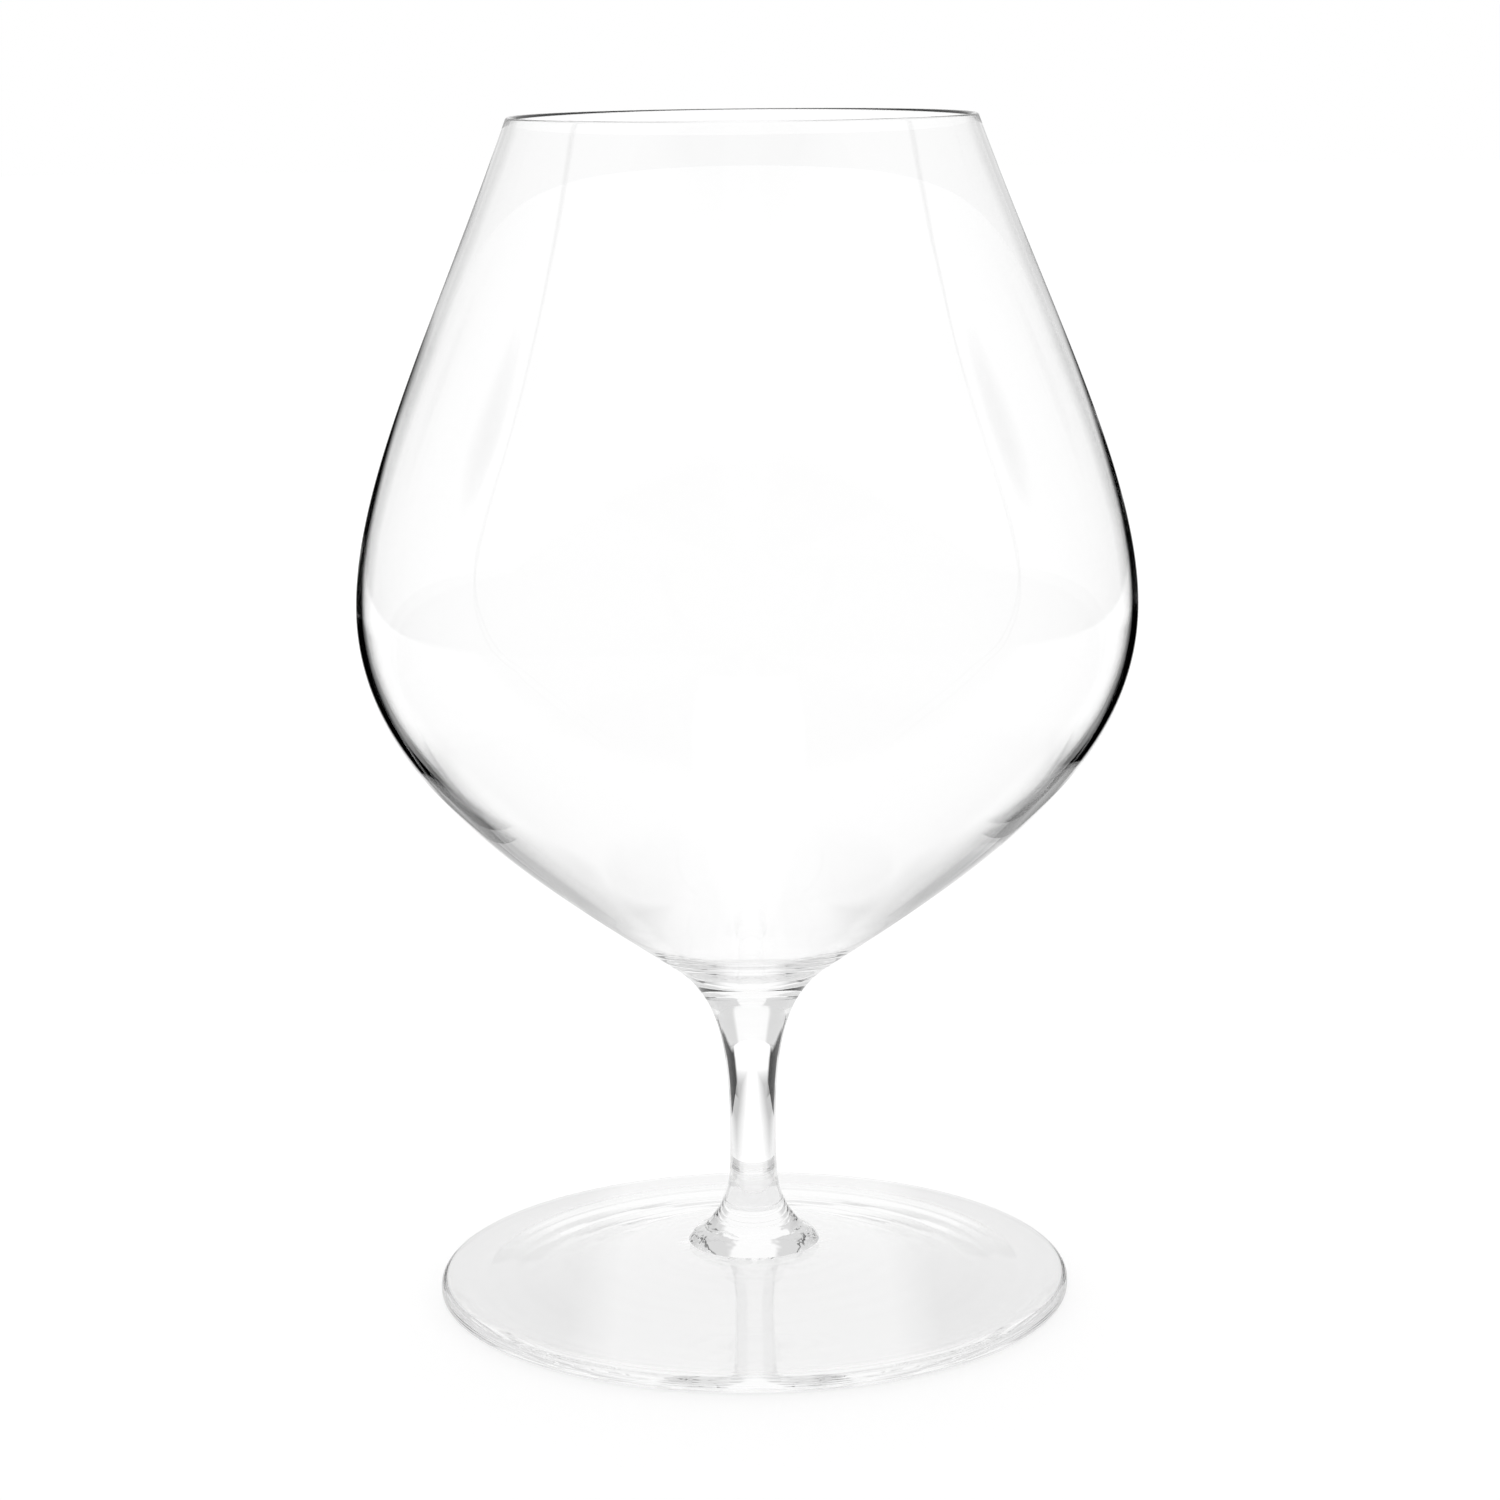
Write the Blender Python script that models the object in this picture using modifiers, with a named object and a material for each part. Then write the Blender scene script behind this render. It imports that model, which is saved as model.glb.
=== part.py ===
"""A short-stemmed balloon wine glass, built as it is made: a blown bowl, a drawn stem and a pressed foot.

The three pieces of glass are fused end to end at two flat seams. Units are metres, +Z is up, and the
origin is the centre of the ring that the foot stands on. Each piece is a profile turned about its own
Z axis, and each profile is written from the flat face that the piece is seated by.
"""

import math

import bpy
from mathutils import Vector

MM = 0.001

# Seams, where hot glass is stuck to hot glass
SEAM_GAP = 0.3 * MM
STEM_TOP_DIAMETER = 8.9 * MM
STEM_TOP_LEAN = math.radians(12)
POST_DIAMETER = 7.1 * MM
POST_LEAN = math.radians(4)

# Bowl: heights are above its seam with the stem
BOWL_HEIGHT = 134.8 * MM
BELLY_HEIGHT = 65.0 * MM
BASE_HEIGHT = 11.8 * MM
FLOOR_HEIGHT = 12.0 * MM
RIM_DIAMETER = 66.7 * MM
BELLY_DIAMETER = 112.5 * MM
BASE_DIAMETER = 23.7 * MM
RIM_LEAN = math.radians(20.4)
BASE_LEAN = math.radians(54.6)

# Bowl wall: thin at the rim, thicker below the belly, until the inside rounds over into a thick floor
RIM_WALL = 0.8 * MM
BELLY_WALL = 0.9 * MM
LOWER_WALL = 1.5 * MM
COLLAR_WALL = 1.9 * MM
BASE_WALL = 1.6 * MM

# The inside leaves the wall for the floor after this share of the lower curve
FLOOR_START = 0.78

# Stem: the waist is its thinnest place, measured above its seam with the foot
STEM_LENGTH = 20.0 * MM
WAIST_HEIGHT = 7.0 * MM
WAIST_DIAMETER = 6.8 * MM

# Foot: heights are above the table
POST_HEIGHT = 17.0 * MM
FLARE_HEIGHT = 8.9 * MM
FLARE_DIAMETER = 14.8 * MM
FLARE_LEAN = math.radians(50)
BEAD_HEIGHT = 6.9 * MM
BEAD_DIAMETER = 19.4 * MM
BEAD_TOP_LEAN = math.radians(70)
BEAD_SIDE_LEAN = math.radians(35)
FOOT_DIAMETER = 93.4 * MM
EDGE_THICKNESS = 2.4 * MM
EDGE_TOP_RADIUS = 1.2 * MM
EDGE_BOTTOM_RADIUS = 0.8 * MM
CREASE_SLOPE = math.radians(8)
TOP_SLOPE = math.radians(6)
RING_WIDTH = 5.4 * MM
HOLLOW_DEPTH = 5.2 * MM
HOLLOW_SLOPE = math.radians(9)

# How far each curve holds its end directions, as shares of the straight line between its ends
UPPER_PULLS = (0.41, 0.25)
LOWER_PULLS = (0.33, 0.40)
NECK_PULLS = (0.40, 0.35)
FLOOR_PULLS = (0.40, 0.45)
DRAW_PULLS = (0.25, 0.35)
FLARE_PULLS = (0.35, 0.30)
BEAD_PULLS = (0.40, 0.40)
TOP_PULLS = (0.30, 0.40)
HOLLOW_PULLS = (0.40, 0.30)

# Facets: steps round the axis, and steps along each stretch of profile
TURN_STEPS = 64
WALL_STEPS = 9
NECK_STEPS = 6
FLOOR_STEPS = 5
RIM_STEPS = 6
DRAW_STEPS = 5
FLARE_STEPS = 7
BEAD_STEPS = 3
TOP_STEPS = 4
EDGE_STEPS = 4
HOLLOW_STEPS = 4

WELD = 0.001 * MM
STRAIGHT_DOWN = 0.0
STRAIGHT_OUT = math.radians(90)
STRAIGHT_IN = -STRAIGHT_OUT


def heading(lean):
    """The way a profile runs: straight down at a lean of 0, and outwards as the lean grows."""
    return Vector((math.sin(lean), -math.cos(lean)))


def into_glass(lean):
    """The direction from the outside of a wall, run down at this lean, into its glass."""
    return Vector((-math.cos(lean), -math.sin(lean)))


def cubic(values, t):
    """A cubic Bezier of four points or four plain numbers."""
    a, b, c, d = values
    s = 1 - t
    return a * s**3 + b * (3 * t * s**2) + c * (3 * t**2 * s) + d * t**3


def bend(start, start_lean, end, end_lean, pulls, steps):
    """(point, lean) pairs along a smooth curve from start to end, both included."""
    reach = (end - start).length
    first = start + heading(start_lean) * (reach * pulls[0])
    second = end - heading(end_lean) * (reach * pulls[1])
    slopes = [3 * (first - start), 3 * (second - first), 3 * (end - second)]
    found = []
    for step in range(steps + 1):
        t = step / steps
        along = slopes[0] * (1 - t) ** 2 + slopes[1] * (2 * t * (1 - t)) + slopes[2] * t**2
        found.append((cubic((start, first, second, end), t), math.atan2(along.x, -along.y)))
    return found


def arc(centre, radius, first_lean, last_lean, steps):
    """Points on a circle about centre, from where a clockwise profile has the first lean to the last."""
    leans = [first_lean + (last_lean - first_lean) * step / steps for step in range(steps + 1)]
    return [centre - into_glass(lean) * radius for lean in leans]


def points_of(pairs):
    return [point for point, _ in pairs]


def joined(*stretches):
    """One profile from several, without the points that two stretches share."""
    profile = []
    for point in (p for stretch in stretches for p in stretch):
        if not profile or (point - profile[-1]).length > WELD:
            profile.append(point)
    return profile


def bowl_profile():
    """From the middle of the inner floor, up the inside, over the rim and down the outside to the seam."""
    rim_radius = RIM_WALL / 2
    rim_drop = rim_radius * (1 - math.sin(RIM_LEAN))
    rim = Vector((RIM_DIAMETER / 2, BOWL_HEIGHT - rim_drop))
    belly = Vector((BELLY_DIAMETER / 2, BELLY_HEIGHT))
    base = Vector((BASE_DIAMETER / 2, BASE_HEIGHT))
    seam = Vector((STEM_TOP_DIAMETER / 2, 0))
    floor = Vector((0, FLOOR_HEIGHT))

    upper = bend(rim, RIM_LEAN, belly, STRAIGHT_DOWN, UPPER_PULLS, WALL_STEPS)
    lower = bend(belly, STRAIGHT_DOWN, base, -BASE_LEAN, LOWER_PULLS, WALL_STEPS)
    neck = bend(base, -BASE_LEAN, seam, -STEM_TOP_LEAN, NECK_PULLS, NECK_STEPS)

    upper_walls = (RIM_WALL, RIM_WALL, BELLY_WALL, BELLY_WALL)
    lower_walls = (BELLY_WALL, LOWER_WALL, COLLAR_WALL, BASE_WALL)
    floor_step = round(FLOOR_START * WALL_STEPS)
    inner_lower = inner_wall(lower, lower_walls)[: floor_step + 1]
    inside = inner_wall(upper, upper_walls) + inner_lower
    floor_lean = lower[floor_step][1]
    floor_curve = bend(inside[-1], floor_lean, floor, STRAIGHT_IN, FLOOR_PULLS, FLOOR_STEPS)
    rim_centre = rim + into_glass(RIM_LEAN) * rim_radius
    lip = arc(rim_centre, rim_radius, RIM_LEAN + math.pi, RIM_LEAN, RIM_STEPS)

    inner_side = joined(inside, points_of(floor_curve))
    outer_side = joined(points_of(upper), points_of(lower), points_of(neck), [Vector((0, 0))])
    return joined(reversed(inner_side), lip, outer_side)


def inner_wall(outside, walls):
    """The outside moved into the glass by a wall that eases through four thicknesses."""
    last = len(outside) - 1
    return [
        point + into_glass(lean) * cubic(walls, step / last)
        for step, (point, lean) in enumerate(outside)
    ]


def stem_profile():
    """A rod drawn out of the bowl's button: wide at its top seam, with a waist low down."""
    top = Vector((STEM_TOP_DIAMETER / 2, STEM_LENGTH))
    waist = Vector((WAIST_DIAMETER / 2, WAIST_HEIGHT))
    bottom = Vector((POST_DIAMETER / 2, 0))
    drawn = bend(top, -STEM_TOP_LEAN, waist, STRAIGHT_DOWN, DRAW_PULLS, DRAW_STEPS)
    tail = bend(waist, STRAIGHT_DOWN, bottom, POST_LEAN, DRAW_PULLS, DRAW_STEPS)
    top_middle = Vector((0, STEM_LENGTH))
    return joined([top_middle], points_of(drawn), points_of(tail), [Vector((0, 0))])


def foot_profile():
    """A post that flares to a bead, a shallow cone, a round edge, a flat ring and a hollow underside."""
    post = Vector((POST_DIAMETER / 2, POST_HEIGHT))
    flare = Vector((FLARE_DIAMETER / 2, FLARE_HEIGHT))
    bead = Vector((BEAD_DIAMETER / 2, BEAD_HEIGHT))
    flare_curve = bend(post, POST_LEAN, flare, FLARE_LEAN, FLARE_PULLS, FLARE_STEPS)
    bead_curve = bend(flare, BEAD_TOP_LEAN, bead, BEAD_SIDE_LEAN, BEAD_PULLS, BEAD_STEPS)

    edge_lean = STRAIGHT_OUT - TOP_SLOPE
    edge_radius = FOOT_DIAMETER / 2
    top_centre = Vector((edge_radius - EDGE_TOP_RADIUS, EDGE_THICKNESS - EDGE_TOP_RADIUS))
    bottom_centre = Vector((edge_radius - EDGE_BOTTOM_RADIUS, EDGE_BOTTOM_RADIUS))
    edge_top = arc(top_centre, EDGE_TOP_RADIUS, edge_lean, STRAIGHT_DOWN, EDGE_STEPS)
    edge_bottom = arc(bottom_centre, EDGE_BOTTOM_RADIUS, STRAIGHT_DOWN, STRAIGHT_IN, EDGE_STEPS)
    top = bend(bead, STRAIGHT_OUT - CREASE_SLOPE, edge_top[0], edge_lean, TOP_PULLS, TOP_STEPS)

    ring_inside = Vector((bottom_centre.x - RING_WIDTH, 0))
    hollow_top = Vector((0, HOLLOW_DEPTH))
    hollow_lean = STRAIGHT_IN - HOLLOW_SLOPE
    hollow = bend(ring_inside, hollow_lean, hollow_top, STRAIGHT_IN, HOLLOW_PULLS, HOLLOW_STEPS)
    post_middle = Vector((0, POST_HEIGHT))
    upper_side = joined([post_middle], points_of(flare_curve), points_of(bead_curve), points_of(top))
    return joined(upper_side, edge_top, edge_bottom, points_of(hollow))


def clear_glass(name, tint, roughness):
    """Colourless soda-lime crystal, as its making leaves the surface."""
    material = bpy.data.materials.new(name)
    material.use_nodes = True
    shader = material.node_tree.nodes["Principled BSDF"]
    shader.inputs["Base Color"].default_value = (*tint, 1)
    shader.inputs["Roughness"].default_value = roughness
    shader.inputs["Metallic"].default_value = 0
    shader.inputs["IOR"].default_value = 1.52
    shader.inputs["Transmission Weight"].default_value = 1
    return material


def turned(name, profile, material, seat_height):
    """An object made by turning a profile once round Z, with its own zero at seat_height."""
    mesh = bpy.data.meshes.new(name)
    corners = [(point.x, 0, point.y) for point in profile]
    edges = [(i, i + 1) for i in range(len(corners) - 1)]
    mesh.from_pydata(corners, edges, [])
    mesh.materials.append(material)
    piece = bpy.data.objects.new(name, mesh)
    piece.location.z = seat_height
    turn = piece.modifiers.new("Turn", "SCREW")
    turn.axis = "Z"
    turn.steps = TURN_STEPS
    turn.render_steps = TURN_STEPS
    turn.use_merge_vertices = True
    turn.merge_threshold = WELD
    turn.use_smooth_shade = True
    return piece


def clear_scene():
    for old in list(bpy.data.objects):
        bpy.data.objects.remove(old, do_unlink=True)


def build():
    clear_scene()
    collection = bpy.data.collections.new("Wine glass")
    bpy.context.scene.collection.children.link(collection)
    glass = bpy.data.objects.new("wine_glass", None)

    stem_seat = POST_HEIGHT + SEAM_GAP
    bowl_seat = stem_seat + STEM_LENGTH + SEAM_GAP
    pieces = [
        turned("foot", foot_profile(), clear_glass("Pressed foot glass", (0.97, 0.98, 0.98), 0.02), 0),
        turned("stem", stem_profile(), clear_glass("Drawn stem glass", (0.97, 0.98, 0.98), 0.01), stem_seat),
        turned("bowl", bowl_profile(), clear_glass("Blown bowl glass", (0.98, 0.98, 0.98), 0.0), bowl_seat),
    ]
    for piece in [glass, *pieces]:
        collection.objects.link(piece)
    for piece in pieces:
        piece.parent = glass


build()
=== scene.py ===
# %% [markdown]
# # A balloon wine glass in a white studio
#
# The glass on the table is three pieces of clear glass, fused end to end: a blown bowl, a short drawn
# stem and a spun foot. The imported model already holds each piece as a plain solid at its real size. This
# lesson gives them the fine surface, the clear glass and the light that a product photograph has.

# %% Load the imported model
import math

import bmesh
import bpy
from mathutils import Matrix, Vector


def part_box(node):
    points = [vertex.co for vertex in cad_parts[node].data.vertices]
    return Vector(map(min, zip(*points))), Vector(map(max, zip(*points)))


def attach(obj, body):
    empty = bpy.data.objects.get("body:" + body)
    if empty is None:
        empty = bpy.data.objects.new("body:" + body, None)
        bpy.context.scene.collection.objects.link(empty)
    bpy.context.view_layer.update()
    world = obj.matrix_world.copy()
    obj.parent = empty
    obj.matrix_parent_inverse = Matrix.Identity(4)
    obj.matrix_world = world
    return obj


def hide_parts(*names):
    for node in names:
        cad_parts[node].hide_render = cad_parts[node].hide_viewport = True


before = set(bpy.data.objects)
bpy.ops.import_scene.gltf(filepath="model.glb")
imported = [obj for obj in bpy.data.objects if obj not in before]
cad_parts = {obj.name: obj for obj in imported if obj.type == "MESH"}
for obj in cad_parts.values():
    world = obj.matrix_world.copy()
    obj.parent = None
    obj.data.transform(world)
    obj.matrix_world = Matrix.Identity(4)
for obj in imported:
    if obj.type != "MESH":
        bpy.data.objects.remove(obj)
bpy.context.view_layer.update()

MM = 0.001
BODY = "root"
print("pieces in the packed model:", sorted(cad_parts))

# %% [markdown]
# ## Three small helpers
#
# Colours are written the way a paint programme shows them, as sRGB hex values. Blender's shaders work in
# linear light, so one function turns them over. The next adds a node to any tree, sets what it is given
# and links its inputs, which keeps the trees below short enough to read. The last starts a material with
# an empty tree.

# %% Helpers for colours, nodes and materials


def linear_colour(hex_value):
    """An sRGB hex colour, such as "#808080", as linear red, green, blue and an alpha of 1."""
    shares = [int(hex_value[i : i + 2], 16) / 255 for i in (1, 3, 5)]
    return (*[s / 12.92 if s <= 0.04045 else ((s + 0.055) / 1.055) ** 2.4 for s in shares], 1.0)


def add_node(tree, kind, settings=None, **inputs):
    """A new node. A socket given as input is linked, and any other value is set on the node's own socket."""
    node = tree.nodes.new(kind)
    for name, value in (settings or {}).items():
        setattr(node, name, value)
    for name, value in inputs.items():
        place = int(name[1:]) if name[1:].isdigit() else name.replace("_", " ")
        if isinstance(value, bpy.types.NodeSocket):
            tree.links.new(value, node.inputs[place])
        else:
            node.inputs[place].default_value = value
    return node


def empty_material(name):
    """A new material, and its node tree with nothing in it yet."""
    material = bpy.data.materials.new(name)
    material.use_nodes = True
    material.node_tree.nodes.clear()
    return material, material.node_tree


print("mid grey in linear light:", round(linear_colour("#808080")[0], 3))

# %% [markdown]
# ## The camera
#
# The photograph looks slightly down on the glass, from about three glass heights away. The lens, the
# distance and the tilt come from the shapes of two circles: the rim is a flat ellipse and the foot an open
# one. The picture also leans a little to the left, so the camera is rolled by the same angle.

# %% Camera at the photograph's viewing angle
PHOTO_SIDE = 1500
FOCAL_LENGTH_IN_PIXELS = 3725
SENSOR_WIDTH_IN_MM = 36
CAMERA_PLACE = Vector((0.17, -532, 186.75)) * MM
NEAREST_SEEN = 10 * MM
LOOK_DOWN = math.radians(11.23)
LEAN_LEFT = math.radians(0.62)


def make_camera():
    lens = bpy.data.cameras.new("Product lens")
    lens.sensor_width = SENSOR_WIDTH_IN_MM
    lens.lens = SENSOR_WIDTH_IN_MM * FOCAL_LENGTH_IN_PIXELS / PHOTO_SIDE
    lens.clip_start = NEAREST_SEEN
    camera = bpy.data.objects.new("Product camera", lens)
    bpy.context.scene.collection.objects.link(camera)
    tilted = Matrix.Rotation(math.radians(90) - LOOK_DOWN, 4, "X")
    rolled = Matrix.Rotation(-LEAN_LEFT, 4, "Z")
    camera.matrix_world = Matrix.Translation(CAMERA_PLACE) @ tilted @ rolled
    bpy.context.scene.camera = camera
    return camera


camera = make_camera()
print("lens of", round(camera.data.lens, 1), "mm")

# %% [markdown]
# ## White floor, light from behind
#
# Clear glass has no colour of its own, so it is drawn by what stands around it. The lens sees a white world
# and a white floor. The light that falls on the floor comes mostly from behind, as from a lit screen, so
# the shadow lies in front of the foot. The floor is mostly a glow and only partly paint, because in the
# photograph it is burnt out to white and its shadow is faint. Only the glass sees painted shade in that
# glow: the same floor is painted a little darker at the sides of the foot and dimmer in front, and behind
# the foot it has a painted grey patch on each side, which the lower edge of the bowl mirrors.

# %% World and floor
FLOOR_SIDE = 8000 * MM
FLOOR_DROP = 0.1 * MM
FLOOR_PAINT = 0.3
FLOOR_GLOW = 0.75
# Painted shade in the glow that reaches the glass: its share in the patches behind, beside the foot and in
# front.
FLOOR_GREY = 0.33
FLOOR_NEAR = 0.85
FLOOR_DIM = 0.6
# Each fade is the place where one shade ends and the place where the next begins.
FADE_TO_GREY = (20 * MM, 65 * MM)
FADE_TO_FAR_SIDES = (110 * MM, 160 * MM)
FADE_FROM_NEAR = (40 * MM, 95 * MM)
FADE_TO_BACK = (115 * MM, 200 * MM)
FADE_FROM_FRONT = (-115 * MM, -85 * MM)
BACK_LIGHT = 1.7
FRONT_LIGHT = 0.3


def seen_by_lens_or_glass(tree):
    """1 for a ray from the lens, a reflection or a ray out of glass, and 0 for light round the room."""
    path = add_node(tree, "ShaderNodeLightPath").outputs
    either = add_node(
        tree, "ShaderNodeMath", {"operation": "MAXIMUM"}, _0=path["Is Camera Ray"], _1=path["Is Glossy Ray"]
    )
    return add_node(
        tree, "ShaderNodeMath", {"operation": "MAXIMUM"}, _0=either.outputs[0], _1=path["Is Transmission Ray"]
    ).outputs[0]


def make_world():
    world = bpy.data.worlds.new("White studio")
    world.use_nodes = True
    tree = world.node_tree
    way = add_node(tree, "ShaderNodeTexCoord").outputs["Generated"]
    backwards = add_node(tree, "ShaderNodeSeparateXYZ", Vector=way).outputs["Y"]
    room_light = add_node(
        tree,
        "ShaderNodeMapRange",
        Value=backwards,
        From_Min=-1,
        From_Max=1,
        To_Min=FRONT_LIGHT,
        To_Max=BACK_LIGHT,
    )
    strength = add_node(
        tree,
        "ShaderNodeMix",
        {"data_type": "FLOAT"},
        Factor=seen_by_lens_or_glass(tree),
        A=room_light.outputs["Result"],
        B=1.0,
    )
    background = tree.nodes["Background"]
    background.inputs["Color"].default_value = linear_colour("#FFFFFF")
    tree.links.new(strength.outputs["Result"], background.inputs["Strength"])
    bpy.context.scene.world = world


def floor_finish():
    """Matt white board: part of its white is paint that can be shaded, and the rest is a glow.

    The lens sees the glow burnt out to white. Glass sees painted shade in it, greyer at the sides and dimmer
    in front.
    """
    material, tree = empty_material("Glowing white board with painted shade")
    place = add_node(tree, "ShaderNodeTexCoord").outputs["Object"]
    along = add_node(tree, "ShaderNodeSeparateXYZ", Vector=place).outputs
    across = add_node(tree, "ShaderNodeMath", {"operation": "ABSOLUTE"}, _0=along["X"]).outputs[0]
    level = FLOOR_GREY
    for value, (start, end), first, last, operation in (
        (across, FADE_TO_GREY, 1.0, 0.0, "MAXIMUM"),
        (across, FADE_TO_FAR_SIDES, 0.0, 1.0, "MAXIMUM"),
        (along["Y"], FADE_FROM_NEAR, FLOOR_NEAR, 0.0, "MAXIMUM"),
        (along["Y"], FADE_TO_BACK, 0.0, 1.0, "MAXIMUM"),
        (along["Y"], FADE_FROM_FRONT, FLOOR_DIM, 1.0, "MULTIPLY"),
    ):
        fade = add_node(
            tree, "ShaderNodeMapRange", Value=value, From_Min=start, From_Max=end, To_Min=first, To_Max=last
        )
        level = add_node(
            tree, "ShaderNodeMath", {"operation": operation}, _0=level, _1=fade.outputs["Result"]
        ).outputs[0]
    for_lens = add_node(tree, "ShaderNodeLightPath").outputs["Is Camera Ray"]
    seen = seen_by_lens_or_glass(tree)
    for value, operation in ((for_lens, "MAXIMUM"), (seen, "MULTIPLY"), (FLOOR_GLOW, "MULTIPLY")):
        level = add_node(tree, "ShaderNodeMath", {"operation": operation}, _0=level, _1=value).outputs[0]
    paint = add_node(tree, "ShaderNodeBsdfDiffuse", Color=(FLOOR_PAINT, FLOOR_PAINT, FLOOR_PAINT, 1))
    glow = add_node(tree, "ShaderNodeEmission", Color=(1, 1, 1, 1), Strength=level)
    both = add_node(tree, "ShaderNodeAddShader", _0=paint.outputs[0], _1=glow.outputs[0])
    add_node(tree, "ShaderNodeOutputMaterial", Surface=both.outputs[0])
    return material


def make_stand(camera):
    """An empty that turns round the glass with the camera, and carries all that the glass is to see."""
    stand = bpy.data.objects.new("Turning stand", None)
    bpy.context.scene.collection.objects.link(stand)
    turn = stand.constraints.new("LOCKED_TRACK")
    turn.target = camera
    turn.track_axis = "TRACK_NEGATIVE_Y"
    turn.lock_axis = "LOCK_Z"
    return stand


def make_floor(stand):
    half = FLOOR_SIDE / 2
    mesh = bpy.data.meshes.new("Floor")
    corners = [(x * half, y * half, -FLOOR_DROP) for x, y in ((-1, -1), (1, -1), (1, 1), (-1, 1))]
    mesh.from_pydata(corners, [], [(0, 1, 2, 3)])
    mesh.materials.append(floor_finish())
    floor = bpy.data.objects.new("Floor", mesh)
    floor.parent = stand
    bpy.context.scene.collection.objects.link(floor)


make_world()
stand = make_stand(camera)
make_floor(stand)
print("floor of", FLOOR_SIDE, "m")

# %% [markdown]
# ## Black mask, black cards and grey walls
#
# In an all-white room clear glass would vanish. A photographer stands a black mask behind the bowl, cut a
# little wider than its outline. The curved edge of the bowl bends the view sideways, past the white and
# into the black, and so it is drawn as a thin black line. Two cards on each side do the same further down.
# A side card draws the lines of the stem. It is low at the back, where the sides of the bowl would mirror
# it. A low card that stands across it, thinned out towards the middle, lets the black of the bowl end
# softly. Further round stand the grey walls of the room, which the sides of the bowl reflect. They are no
# paint but a glow, a painted light that is grey beside the glass and brightens towards the far end. All of
# it is hidden from the lens and casts no shadow. It hangs on a stand that turns with the camera, as a
# photographer would move it for each new view.

# %% Mask, cards and walls on a turning stand
# All sizes of these sheets are in millimetres. A cover of 1 is solid black, and less is an open net.
MASK_DEPTH = 45
MASK_EDGE = 5
MASK = (
    # height, inner edge, edge of the solid black, outer edge, cover
    (28, 62, 68, 74, 0.0),
    (34, 60, 68, 76, 0.6),
    (39, 58, 68, 80, 0.95),
    (46, 58, 68, 82, 1.0),
    (53, 60, 72, 86, 1.0),
    (60, 62, 78, 90, 1.0),
    (66, 63, 82, 92, 1.0),
    (72, 64.2, 84, 93.5, 1.0),
    (83, 64.8, 85.5, 93.5, 1.0),
    (96, 63.5, 83, 92.5, 1.0),
    (108, 61.5, 79.5, 91, 1.0),
    (120, 57.6, 72.5, 85, 1.0),
    (130, 54, 63.5, 74, 1.0),
    (137, 51, 58.5, 70, 0.95),
    (143, 49, 54, 65, 0.72),
    (155, 44.5, 49.5, 59, 0.6),
    (166, 40, 45, 54, 0.5),
    (178, 36, 41, 49, 0.35),
)
SIDE_CARD_DISTANCE = 78
SIDE_CARD_FADE = 12
SIDE_CARD = (
    # distance behind the middle of the glass, height, cover
    (44, 50, 0.0),
    (58, 62, 1.0),
    (66, 64, 1.0),
    (80, 56, 1.0),
    (95, 46, 1.0),
    (115, 38, 1.0),
    (135, 36, 1.0),
    (155, 36, 0.0),
)
LOW_CARD_DEPTH = 110
LOW_CARD_HEIGHT = 32
LOW_CARD_FADE = 10
LOW_CARD = (
    # distance to the side, cover
    (50, 0.0),
    (90, 1.0),
    (115, 1.0),
)
# The walls glow with painted light, grey beside the glass and brightening to white at the far end.
WALL_DISTANCE = 700
WALL_BACK = 2400
WALL_GREY_TO = 1700
WALL_FRONT = -1500
WALL_TOP = 3000
WALL_GREY = 0.7


def felt_finish():
    """Black felt, thinned out to a net by the attribute "cover", which each sheet carries."""
    material, tree = empty_material("Black felt")
    cover = add_node(tree, "ShaderNodeAttribute", {"attribute_name": "cover"}).outputs["Fac"]
    felt = add_node(tree, "ShaderNodeBsdfDiffuse", Color=linear_colour("#080808"))
    open_net = add_node(tree, "ShaderNodeBsdfTransparent", Color=(1, 1, 1, 1))
    mixed = add_node(tree, "ShaderNodeMixShader", _0=cover, _1=open_net.outputs[0], _2=felt.outputs[0])
    add_node(tree, "ShaderNodeOutputMaterial", Surface=mixed.outputs[0])
    return material


def wall_finish():
    """A glow, not paint: painted light, nearly white at the far end and grey at the side of the glass."""
    material, tree = empty_material("Glowing grey wall")
    place = add_node(tree, "ShaderNodeTexCoord").outputs["Object"]
    along = add_node(tree, "ShaderNodeSeparateXYZ", Vector=place).outputs["Y"]
    light = add_node(
        tree,
        "ShaderNodeMapRange",
        {"interpolation_type": "SMOOTHSTEP"},
        Value=along,
        From_Min=WALL_GREY_TO * MM,
        From_Max=WALL_BACK * MM,
        To_Min=WALL_GREY,
        To_Max=1.0,
    )
    grey = add_node(tree, "ShaderNodeEmission", Color=(1, 1, 1, 1), Strength=light.outputs["Result"])
    add_node(tree, "ShaderNodeOutputMaterial", Surface=grey.outputs[0])
    return material


def mask_rows(side):
    return [
        [
            (side * x, MASK_DEPTH, height, share)
            for x, share in ((inner, 0.0), (inner + MASK_EDGE, cover), (solid, cover), (outer, 0.0))
        ]
        for height, inner, solid, outer, cover in MASK
    ]


def side_card_rows(side):
    return [
        [
            (side * SIDE_CARD_DISTANCE, behind, height, share)
            for height, share in ((0, cover), (top - SIDE_CARD_FADE, cover), (top, 0.0))
        ]
        for behind, top, cover in SIDE_CARD
    ]


def low_card_rows(side):
    fade_from = LOW_CARD_HEIGHT - LOW_CARD_FADE
    return [
        [
            (side * across, LOW_CARD_DEPTH, height, share)
            for height, share in ((0, cover), (fade_from, cover), (LOW_CARD_HEIGHT, 0.0))
        ]
        for across, cover in LOW_CARD
    ]


def wall_rows(first, second):
    """A wall that stands on the floor, on the line from first to second."""
    return [[(*first, height, 1.0), (*second, height, 1.0)] for height in (0, WALL_TOP)]


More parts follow.
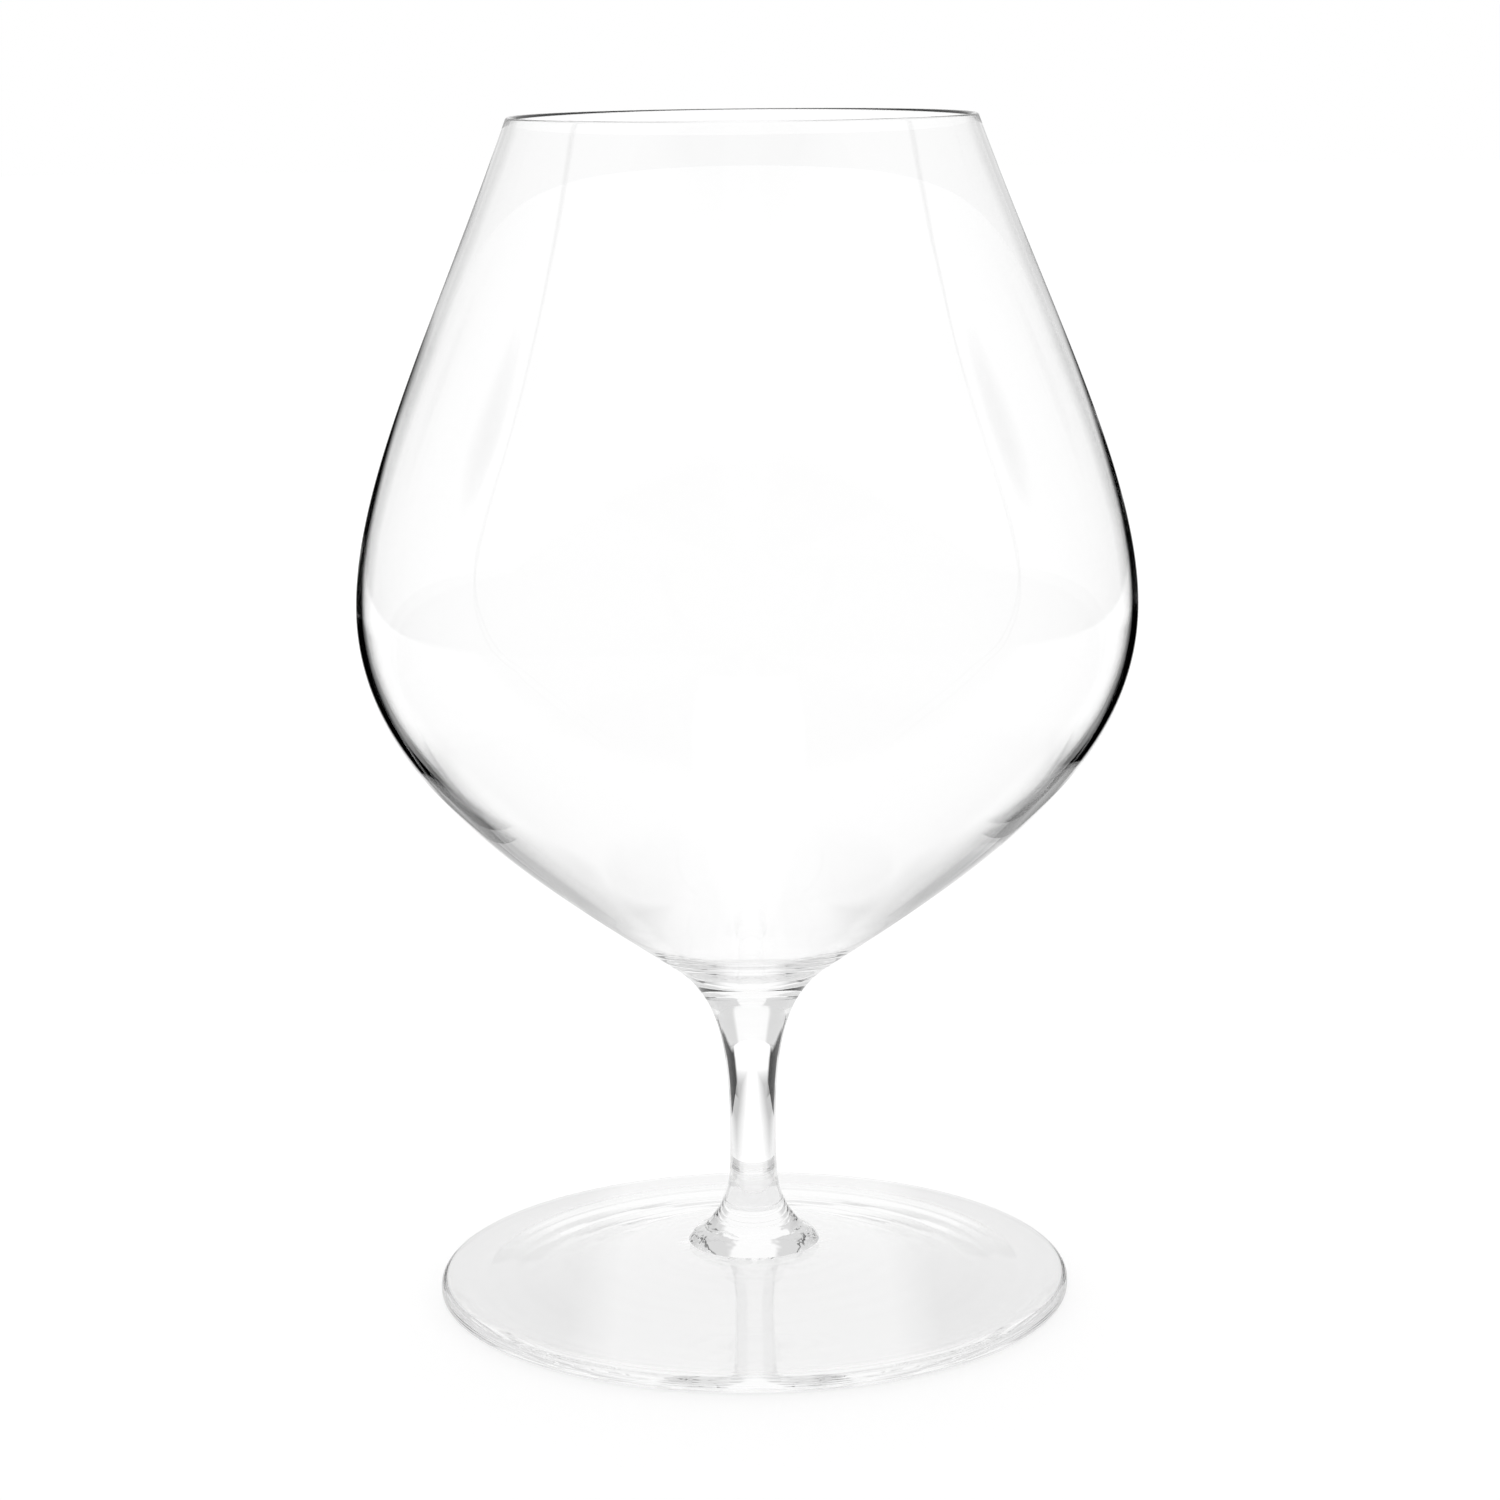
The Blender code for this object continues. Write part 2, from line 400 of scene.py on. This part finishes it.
def hang(stand, name, rows, finish):
    """A sheet through rows of points, for reflections and glass only. A point is x, y, z and its cover."""
    mesh = bpy.data.meshes.new(name)
    wide = len(rows[0])
    corners = [(i, i + 1, i + 1 + wide, i + wide) for i in range(len(rows) * wide - wide) if (i + 1) % wide]
    points = [point for row in rows for point in row]
    mesh.from_pydata([(x * MM, y * MM, z * MM) for x, y, z, _ in points], [], corners)
    mesh.attributes.new("cover", "FLOAT", "POINT").data.foreach_set("value", [p[3] for p in points])
    mesh.materials.append(finish)
    sheet = bpy.data.objects.new(name, mesh)
    sheet.parent = stand
    sheet.visible_camera = False
    sheet.visible_diffuse = False
    sheet.visible_shadow = False
    bpy.context.scene.collection.objects.link(sheet)


def furnish(stand):
    felt = felt_finish()
    grey = wall_finish()
    for name, side in (("Left", -1), ("Right", 1)):
        wall_x = side * WALL_DISTANCE
        hang(stand, name + " mask", mask_rows(side), felt)
        hang(stand, name + " side card", side_card_rows(side), felt)
        hang(stand, name + " low card", low_card_rows(side), felt)
        hang(stand, name + " wall", wall_rows((wall_x, WALL_FRONT), (wall_x, WALL_BACK)), grey)
    front_wall = wall_rows((-WALL_DISTANCE, WALL_FRONT), (WALL_DISTANCE, WALL_FRONT))
    hang(stand, "Front wall", front_wall, grey)


furnish(stand)
print("mask", MASK_DEPTH, "mm behind the middle of the glass")

# %% [markdown]
# ## Clear glass
#
# The real material is colourless crystal, polished by fire, so its surface has no grain at all. What it
# keeps is the trace of its making. Blowing leaves broad, faint ripples in the bowl, drawing leaves fine
# lines along the stem, and spinning leaves rings in the foot. They are less than a tenth of a millimetre
# high, too low to change the outline, so a Bump node tilts the surface by them.
#
# Where two pieces were fused there is no surface left, only glass. Each piece stays a closed mesh, so its
# joint faces get a finish that lets light straight through.

# %% Materials
CRYSTAL_IOR = 1.52
# Blown into a mould: broad waves, which make the wall a little uneven to the eye.
BLOWN_RIPPLE = Vector((25, 25, 25))
BLOWN_HEIGHT = 0.06
# Drawn out while it was soft: fine lines along the stem, which streak what it mirrors.
DRAWN_LINE = Vector((1.5, 1.5, 40))
DRAWN_HEIGHT = 0.004
# Spread while it spun: rings round the middle, which blur the stem that the foot mirrors. Real rings are
# finer and lower. These are as coarse as they need to be to show.
SPUN_RING = 5.5
SPUN_HEIGHT = 0.09
# A size so large that a pattern stays the same all along its axis.
ENDLESS = 1e9


def stretched(tree, place, sizes):
    """Places counted in ripples, which have these sizes in millimetres along x, y and z."""
    scale = [1 / (size * MM) for size in sizes]
    return add_node(tree, "ShaderNodeMapping", Vector=place, Scale=scale).outputs["Vector"]


def in_rings(tree, place, size):
    """Places counted in rings round the axis, each of this width in millimetres."""
    flat = stretched(tree, place, (size, size, ENDLESS))
    radius = add_node(tree, "ShaderNodeVectorMath", {"operation": "LENGTH"}, _0=flat).outputs["Value"]
    return add_node(tree, "ShaderNodeCombineXYZ", X=radius).outputs["Vector"]


def crystal_glass(name, pattern, size, height):
    """Colourless crystal glass, fire-polished: no grain, but ripples of a height in millimetres."""
    material = bpy.data.materials.new(name)
    material.use_nodes = True
    tree = material.node_tree
    place = add_node(tree, "ShaderNodeTexCoord").outputs["Object"]
    ripples = add_node(tree, "ShaderNodeTexNoise", Vector=pattern(tree, place, size), Scale=1.0, Detail=1.0)
    bump = add_node(tree, "ShaderNodeBump", Height=ripples.outputs[0], Strength=1.0, Distance=height * MM)
    shader = tree.nodes["Principled BSDF"]
    shader.inputs["Base Color"].default_value = linear_colour("#FFFFFF")
    shader.inputs["Roughness"].default_value = 0
    shader.inputs["IOR"].default_value = CRYSTAL_IOR
    shader.inputs["Transmission Weight"].default_value = 1
    tree.links.new(bump.outputs["Normal"], shader.inputs["Normal"])
    return material


def fused_joint():
    """The inside of a fused seam, where light meets no surface."""
    material, tree = empty_material("Fused seam inside the glass")
    clear = add_node(tree, "ShaderNodeBsdfTransparent", Color=(1, 1, 1, 1))
    add_node(tree, "ShaderNodeOutputMaterial", Surface=clear.outputs[0])
    return material


blown_glass = crystal_glass("Blown crystal glass", stretched, BLOWN_RIPPLE, BLOWN_HEIGHT)
drawn_glass = crystal_glass("Drawn crystal glass", stretched, DRAWN_LINE, DRAWN_HEIGHT)
spun_glass = crystal_glass("Spun crystal glass", in_rings, SPUN_RING, SPUN_HEIGHT)
seam_inside = fused_joint()
print("glass with an index of", CRYSTAL_IOR)

# %% [markdown]
# ## Half-sections
#
# Every piece is turned, so one half-section says all of its shape. The curves are few: each runs from a
# point to a point and leaves and arrives at a given lean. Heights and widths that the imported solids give
# are read from them, so the fine glass lies where the solids are.

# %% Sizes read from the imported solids
_, foot_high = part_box("foot")
stem_low, stem_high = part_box("stem")
bowl_low, bowl_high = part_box("bowl")
LOWER_SEAM = (foot_high.z + stem_low.z) / 2
UPPER_SEAM = (stem_high.z + bowl_low.z) / 2
SEAM_FILM = 0.01 * MM
print("seams at", round(LOWER_SEAM / MM, 2), "and", round(UPPER_SEAM / MM, 2), "mm")

# %% Curves of a half-section
DOWN = 0.0
OUT = math.radians(90)
IN = -OUT
SAME_POINT = 0.001 * MM


def heading(lean):
    """The way a half-section runs: straight down at a lean of 0, and outwards as the lean grows."""
    return Vector((math.sin(lean), -math.cos(lean)))


def into_glass(lean):
    """From the outside of a wall, run down at this lean, into its glass."""
    return Vector((-math.cos(lean), -math.sin(lean)))


def cubic(values, t):
    """A cubic Bezier of four points or of four numbers."""
    a, b, c, d = values
    s = 1 - t
    return a * s**3 + b * (3 * t * s**2) + c * (3 * t**2 * s) + d * t**3


def bend(start, start_lean, end, end_lean, pulls, steps):
    """(point, lean) pairs on a smooth curve. Each pull is a share of the straight line between the ends."""
    reach = (end - start).length
    first = start + heading(start_lean) * (reach * pulls[0])
    second = end - heading(end_lean) * (reach * pulls[1])
    found = []
    for step in range(steps + 1):
        t = step / steps
        along = (first - start) * (1 - t) ** 2 + (second - first) * (2 * t * (1 - t)) + (end - second) * t**2
        found.append((cubic((start, first, second, end), t), math.atan2(along.x, -along.y)))
    return found


def arc(centre, radius, first_lean, last_lean, steps):
    """Points on a circle, from where the half-section has the first lean to where it has the last."""
    leans = [first_lean + (last_lean - first_lean) * step / steps for step in range(steps + 1)]
    return [centre - into_glass(lean) * radius for lean in leans]


def points_of(pairs):
    return [point for point, _ in pairs]


def joined(*stretches):
    """One half-section from several stretches, without the points that two of them share."""
    section = []
    for point in (p for stretch in stretches for p in stretch):
        if not section or (point - section[-1]).length > SAME_POINT:
            section.append(point)
    return section


print("a lean of 0 runs along", tuple(heading(DOWN)))

# %% [markdown]
# ## The bowl
#
# Blown glass is thinnest where it was stretched most, at the rim and the belly, and thick at the button
# that the stem was stuck to. The outside is three curves. The inside is the same line moved into the glass
# by a wall that eases from 0.8 mm at the rim to about 1.7 mm low down, and then it leaves the outside and
# rounds off into a thick floor. The rim is cut and melted round.

# %% Half-section of the bowl
BOWL_TOP = bowl_high.z
BELLY_RADIUS = bowl_high.x
BELLY_HEIGHT = bowl_low.z + 65.0 * MM
RIM_RADIUS = 33.35 * MM
RIM_LEAN = math.radians(20.4)
BASE_RADIUS = 11.85 * MM
BASE_HEIGHT = bowl_low.z + 11.8 * MM
BASE_LEAN = math.radians(54.6)
FLOOR_HEIGHT = bowl_low.z + 12.0 * MM
STEM_TOP_RADIUS = stem_high.x
STEM_TOP_LEAN = math.radians(12)
RIM_WALL = 0.8 * MM
UPPER_WALLS = (RIM_WALL, RIM_WALL, 0.9 * MM, 0.9 * MM)
LOWER_WALLS = (0.9 * MM, 1.5 * MM, 1.9 * MM, 1.6 * MM)
# The share of the lower curve after which the inside leaves it.
FLOOR_START = 0.78
# Each curve has the pulls at its start and its end, and its number of steps.
UPPER_CURVE = ((0.41, 0.25), 50)
LOWER_CURVE = ((0.33, 0.40), 60)
NECK_CURVE = ((0.40, 0.35), 36)
FLOOR_CURVE = ((0.40, 0.45), 34)
LIP_STEPS = 16


def inner_wall(outside, walls):
    last = len(outside) - 1
    return [point + into_glass(lean) * cubic(walls, i / last) for i, (point, lean) in enumerate(outside)]


def bowl_section():
    lip_radius = RIM_WALL / 2
    rim = Vector((RIM_RADIUS, BOWL_TOP - lip_radius * (1 - math.sin(RIM_LEAN))))
    belly = Vector((BELLY_RADIUS, BELLY_HEIGHT))
    base = Vector((BASE_RADIUS, BASE_HEIGHT))
    seam = Vector((STEM_TOP_RADIUS, UPPER_SEAM + SEAM_FILM / 2))
    upper = bend(rim, RIM_LEAN, belly, DOWN, *UPPER_CURVE)
    lower = bend(belly, DOWN, base, -BASE_LEAN, *LOWER_CURVE)
    neck = bend(base, -BASE_LEAN, seam, -STEM_TOP_LEAN, *NECK_CURVE)
    floor_step = round(FLOOR_START * (len(lower) - 1))
    inside = inner_wall(upper, UPPER_WALLS) + inner_wall(lower, LOWER_WALLS)[: floor_step + 1]
    floor = bend(inside[-1], lower[floor_step][1], Vector((0, FLOOR_HEIGHT)), IN, *FLOOR_CURVE)
    lip = arc(rim + into_glass(RIM_LEAN) * lip_radius, lip_radius, RIM_LEAN + math.pi, RIM_LEAN, LIP_STEPS)
    seam_middle = Vector((0, seam.y))
    inner_side = joined(inside, points_of(floor))
    return joined(
        reversed(inner_side), lip, points_of(upper), points_of(lower), points_of(neck), [seam_middle]
    )


bowl_line = bowl_section()
print("half-section of the bowl:", len(bowl_line), "points")

# %% [markdown]
# ## The stem and the foot
#
# The stem is a short rod with a waist. The foot was spread while it spun. Its post flares and ends in a
# bead, where the hot gather was pressed onto the disc. The disc is a shallow cone with a melted edge. It is
# hollow underneath, about parallel to its top, and only a flat ring touches the table.

# %% Half-sections of the stem and the foot
WAIST_RADIUS = 3.4 * MM
WAIST_HEIGHT = stem_low.z + 7.0 * MM
POST_RADIUS = 3.55 * MM
POST_LEAN = math.radians(4)
FLARE_RADIUS = 7.4 * MM
FLARE_HEIGHT = 8.9 * MM
FLARE_LEAN = math.radians(50)
BEAD_RADIUS = 9.7 * MM
BEAD_HEIGHT = 6.9 * MM
BEAD_TOP_LEAN = math.radians(70)
BEAD_SIDE_LEAN = math.radians(35)
FOOT_RADIUS = foot_high.x
EDGE_THICKNESS = 2.4 * MM
EDGE_TOP_RADIUS = 1.2 * MM
EDGE_BOTTOM_RADIUS = 0.8 * MM
TOP_SLOPE = math.radians(6)
CREASE_LEAN = math.radians(82)
RING_WIDTH = 5.4 * MM
HOLLOW_DEPTH = 5.2 * MM
HOLLOW_SLOPE = math.radians(9)
# Pulls and steps again, from the stem down to the hollow under the foot.
DRAWN_CURVE = ((0.25, 0.35), 40)
TAIL_CURVE = ((0.25, 0.35), 30)
FLARE_CURVE = ((0.35, 0.30), 50)
BEAD_CURVE = ((0.40, 0.40), 30)
TOP_CURVE = ((0.30, 0.40), 50)
HOLLOW_CURVE = ((0.40, 0.30), 40)
EDGE_TOP_STEPS = 14
EDGE_BOTTOM_STEPS = 10


def stem_section():
    top = Vector((STEM_TOP_RADIUS, UPPER_SEAM - SEAM_FILM / 2))
    waist = Vector((WAIST_RADIUS, WAIST_HEIGHT))
    bottom = Vector((POST_RADIUS, LOWER_SEAM + SEAM_FILM / 2))
    drawn = bend(top, -STEM_TOP_LEAN, waist, DOWN, *DRAWN_CURVE)
    tail = bend(waist, DOWN, bottom, POST_LEAN, *TAIL_CURVE)
    return joined([Vector((0, top.y))], points_of(drawn), points_of(tail), [Vector((0, bottom.y))])


def foot_section():
    post = Vector((POST_RADIUS, LOWER_SEAM - SEAM_FILM / 2))
    flare = Vector((FLARE_RADIUS, FLARE_HEIGHT))
    bead = Vector((BEAD_RADIUS, BEAD_HEIGHT))
    edge_lean = OUT - TOP_SLOPE
    top_centre = Vector((FOOT_RADIUS - EDGE_TOP_RADIUS, EDGE_THICKNESS - EDGE_TOP_RADIUS))
    bottom_centre = Vector((FOOT_RADIUS - EDGE_BOTTOM_RADIUS, EDGE_BOTTOM_RADIUS))
    ring_inside = Vector((bottom_centre.x - RING_WIDTH, 0))
    edge_top = arc(top_centre, EDGE_TOP_RADIUS, edge_lean, DOWN, EDGE_TOP_STEPS)
    edge_bottom = arc(bottom_centre, EDGE_BOTTOM_RADIUS, DOWN, IN, EDGE_BOTTOM_STEPS)
    flared = bend(post, POST_LEAN, flare, FLARE_LEAN, *FLARE_CURVE)
    beaded = bend(flare, BEAD_TOP_LEAN, bead, BEAD_SIDE_LEAN, *BEAD_CURVE)
    top = bend(bead, CREASE_LEAN, edge_top[0], edge_lean, *TOP_CURVE)
    hollow = bend(ring_inside, IN - HOLLOW_SLOPE, Vector((0, HOLLOW_DEPTH)), IN, *HOLLOW_CURVE)
    return joined(
        [Vector((0, post.y))],
        points_of(flared),
        points_of(beaded),
        points_of(top),
        edge_top,
        edge_bottom,
        points_of(hollow),
    )


stem_line = stem_section()
foot_line = foot_section()
print("half-sections of the stem and the foot:", len(stem_line), "and", len(foot_line), "points")

# %% [markdown]
# ## Turning on a lathe of nodes
#
# A Screw modifier would turn a half-section too. A node tree is used here because it also wrinkles the
# bead, marks the sharp edges and gives the joint faces their own finish. It carries the half-section round
# a small circle and welds the points that meet on the axis. Then it moves the points that are marked as
# wrinkled by a noise, and smooths everything but the sharp edges.

# %% Lathe tree
GUIDE_RADIUS = 1 * MM
SHARP_ANGLE = math.radians(40)
# A face is part of a joint if the mean mark of its corners is higher. On a side next to it the mean is 0.5.
JOINT_MARK = 0.75


def make_lathe():
    tree = bpy.data.node_groups.new("Glass lathe", "GeometryNodeTree")
    for name, kind in (
        ("Half-section", "NodeSocketGeometry"),
        ("Steps round", "NodeSocketInt"),
        ("Guide radius", "NodeSocketFloat"),
        ("Sharp angle", "NodeSocketFloat"),
        ("Weld distance", "NodeSocketFloat"),
        ("Wrinkle size", "NodeSocketFloat"),
        ("Wrinkle height", "NodeSocketFloat"),
        ("Glass", "NodeSocketMaterial"),
        ("Joint", "NodeSocketMaterial"),
    ):
        tree.interface.new_socket(name, in_out="INPUT", socket_type=kind)
    tree.interface.new_socket("Turned glass", in_out="OUTPUT", socket_type="NodeSocketGeometry")
    given = add_node(tree, "NodeGroupInput").outputs
    line = add_node(tree, "GeometryNodeMeshToCurve", Mesh=given["Half-section"])
    inwards = add_node(tree, "ShaderNodeMath", {"operation": "MULTIPLY"}, _0=given["Guide radius"], _1=-1.0)
    shift = add_node(tree, "ShaderNodeCombineXYZ", X=inwards.outputs[0])
    laid = add_node(
        tree,
        "GeometryNodeTransform",
        Geometry=line.outputs["Curve"],
        Rotation=(math.radians(90), 0, 0),
        Translation=shift.outputs[0],
    )
    circle = add_node(
        tree,
        "GeometryNodeCurvePrimitiveCircle",
        Resolution=given["Steps round"],
        Radius=given["Guide radius"],
    )
    turned = add_node(
        tree, "GeometryNodeCurveToMesh", Curve=circle.outputs["Curve"], Profile_Curve=laid.outputs["Geometry"]
    )
    welded = add_node(
        tree, "GeometryNodeMergeByDistance", Geometry=turned.outputs["Mesh"], Distance=given["Weld distance"]
    )
    place = add_node(tree, "GeometryNodeInputPosition").outputs["Position"]
    often = add_node(tree, "ShaderNodeMath", {"operation": "DIVIDE"}, _0=1.0, _1=given["Wrinkle size"])
    noise = add_node(tree, "ShaderNodeTexNoise", Vector=place, Scale=often.outputs[0], Detail=2.0)
    both_ways = add_node(tree, "ShaderNodeMath", {"operation": "SUBTRACT"}, _0=noise.outputs[0], _1=0.5)
    wrinkle_mark = add_node(tree, "GeometryNodeInputNamedAttribute", {"data_type": "FLOAT"}, Name="wrinkle")
    here = add_node(
        tree,
        "ShaderNodeMath",
        {"operation": "MULTIPLY"},
        _0=both_ways.outputs[0],
        _1=wrinkle_mark.outputs["Attribute"],
    )
    lift = add_node(
        tree, "ShaderNodeMath", {"operation": "MULTIPLY"}, _0=here.outputs[0], _1=given["Wrinkle height"]
    )
    outwards = add_node(tree, "GeometryNodeInputNormal").outputs["Normal"]
    push = add_node(tree, "ShaderNodeVectorMath", {"operation": "SCALE"}, _0=outwards, Scale=lift.outputs[0])
    wrinkled = add_node(
        tree, "GeometryNodeSetPosition", Geometry=welded.outputs["Geometry"], Offset=push.outputs["Vector"]
    )
    angle = add_node(tree, "GeometryNodeInputMeshEdgeAngle")
    gentle = add_node(
        tree,
        "FunctionNodeCompare",
        {"data_type": "FLOAT", "operation": "LESS_THAN"},
        A=angle.outputs["Unsigned Angle"],
        B=given["Sharp angle"],
    )
    faces_smooth = add_node(
        tree,
        "GeometryNodeSetShadeSmooth",
        {"domain": "FACE"},
        Geometry=wrinkled.outputs["Geometry"],
        Shade_Smooth=True,
    )
    edges_smooth = add_node(
        tree,
        "GeometryNodeSetShadeSmooth",
        {"domain": "EDGE"},
        Geometry=faces_smooth.outputs["Geometry"],
        Shade_Smooth=gentle.outputs["Result"],
    )
    real = add_node(tree, "GeometryNodeRealizeInstances", Geometry=edges_smooth.outputs["Geometry"])
    glass = add_node(
        tree, "GeometryNodeSetMaterial", Geometry=real.outputs["Geometry"], Material=given["Glass"]
    )
    joint_mark = add_node(tree, "GeometryNodeInputNamedAttribute", {"data_type": "FLOAT"}, Name="fused")
    in_joint = add_node(
        tree,
        "FunctionNodeCompare",
        {"data_type": "FLOAT", "operation": "GREATER_THAN"},
        A=joint_mark.outputs["Attribute"],
        B=JOINT_MARK,
    )
    joint = add_node(
        tree,
        "GeometryNodeSetMaterial",
        Geometry=glass.outputs["Geometry"],
        Selection=in_joint.outputs["Result"],
        Material=given["Joint"],
    )
    add_node(tree, "NodeGroupOutput", Turned_glass=joint.outputs["Geometry"])
    return tree


lathe = make_lathe()
print("lathe with", len(lathe.nodes), "nodes")

# %% [markdown]
# ## From the lathe to the table
#
# Each half-section becomes a line of points, which carry a mark where they lie in a seam and a share where
# the hot glass wrinkled. The lathe is a modifier on that line. Its result is copied into a plain mesh, so
# that the finished piece has no modifier and its place is in its points. Glass shows what is inside out at
# once, so the faces are checked by the sign of the volume that they enclose.

# %% Turn one piece
TURN_STEPS = 320
WRINKLE_SIZE = 3 * MM
WRINKLE_HEIGHT = 0.7 * MM
WRINKLE_REACH = 3.5 * MM
ML_IN_CUBIC_METRE = 1e6


def wrinkle_share(point):
    """1 on the bead of the foot, falling to 0 at the reach of the wrinkles, and 0 for the underside."""
    middle = Vector(((FLARE_RADIUS + BEAD_RADIUS) / 2, (FLARE_HEIGHT + BEAD_HEIGHT) / 2))
    under_side = point.y < HOLLOW_DEPTH + EDGE_BOTTOM_RADIUS
    return 0.0 if under_side else max(0.0, 1 - (point - middle).length / WRINKLE_REACH)


def turn_piece(name, section, seams, glass):
    """A closed mesh turned from a half-section. Its points carry marks for fused seams and for wrinkles."""
    line = bpy.data.meshes.new(name)
    line.from_pydata([(p.x, 0, p.y) for p in section], [(i, i + 1) for i in range(len(section) - 1)], [])
    fused = [float(any(abs(p.y - seam) < SEAM_FILM for seam in seams)) for p in section]
    for mark, values in (("fused", fused), ("wrinkle", [wrinkle_share(p) for p in section])):
        line.attributes.new(mark, "FLOAT", "POINT").data.foreach_set("value", values)
    source = bpy.data.objects.new(name + "_half_section", line)
    bpy.context.scene.collection.objects.link(source)
    modifier = source.modifiers.new("Lathe", "NODES")
    modifier.node_group = lathe
    inputs = {
        "Steps round": TURN_STEPS,
        "Guide radius": GUIDE_RADIUS,
        "Sharp angle": SHARP_ANGLE,
        "Weld distance": SAME_POINT,
        "Wrinkle size": WRINKLE_SIZE,
        "Wrinkle height": WRINKLE_HEIGHT,
        "Glass": glass,
        "Joint": seam_inside,
    }
    for item in lathe.interface.items_tree:
        if item.name in inputs:
            modifier[item.identifier] = inputs[item.name]
    mesh = bpy.data.meshes.new_from_object(source.evaluated_get(bpy.context.evaluated_depsgraph_get()))
    bpy.data.objects.remove(source)
    piece = bpy.data.objects.new(name, mesh)
    bpy.context.scene.collection.objects.link(piece)
    return piece


def face_outwards(piece):
    """Turns the faces round where the section was followed the other way, and says what was made."""
    shape = bmesh.new()
    shape.from_mesh(piece.data)
    volume = shape.calc_volume(signed=True)
    if volume < 0:
        bmesh.ops.reverse_faces(shape, faces=shape.faces)
        shape.to_mesh(piece.data)
    open_edges = sum(1 for edge in shape.edges if len(edge.link_faces) != 2)
    glass_ml = round(abs(volume) * ML_IN_CUBIC_METRE, 2)
    print(piece.name, len(piece.data.polygons), "faces,", glass_ml, "ml of glass,", open_edges, "open edges")
    shape.free()


# %% The three pieces
for name, section, seams, glass in (
    ("bowl", bowl_line, [UPPER_SEAM], blown_glass),
    ("stem", stem_line, [UPPER_SEAM, LOWER_SEAM], drawn_glass),
    ("foot", foot_line, [LOWER_SEAM], spun_glass),
):
    piece = turn_piece("glass_" + name, section, seams, glass)
    face_outwards(piece)
    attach(piece, BODY)
    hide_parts(name)

# %% [markdown]
# ## Light paths and the last lines
#
# A ray that enters a glass foot can be reflected inside it many times before it leaves. Blender stops
# early by default and would leave black spots, so the limits are raised.

# %% Light paths and the end
GLASS_BOUNCES = 64
CLEAR_LAYERS = 16
scene = bpy.context.scene
scene.view_settings.view_transform = "Standard"
scene.cycles.max_bounces = GLASS_BOUNCES
scene.cycles.glossy_bounces = GLASS_BOUNCES
scene.cycles.transmission_bounces = GLASS_BOUNCES
scene.cycles.transparent_max_bounces = CLEAR_LAYERS
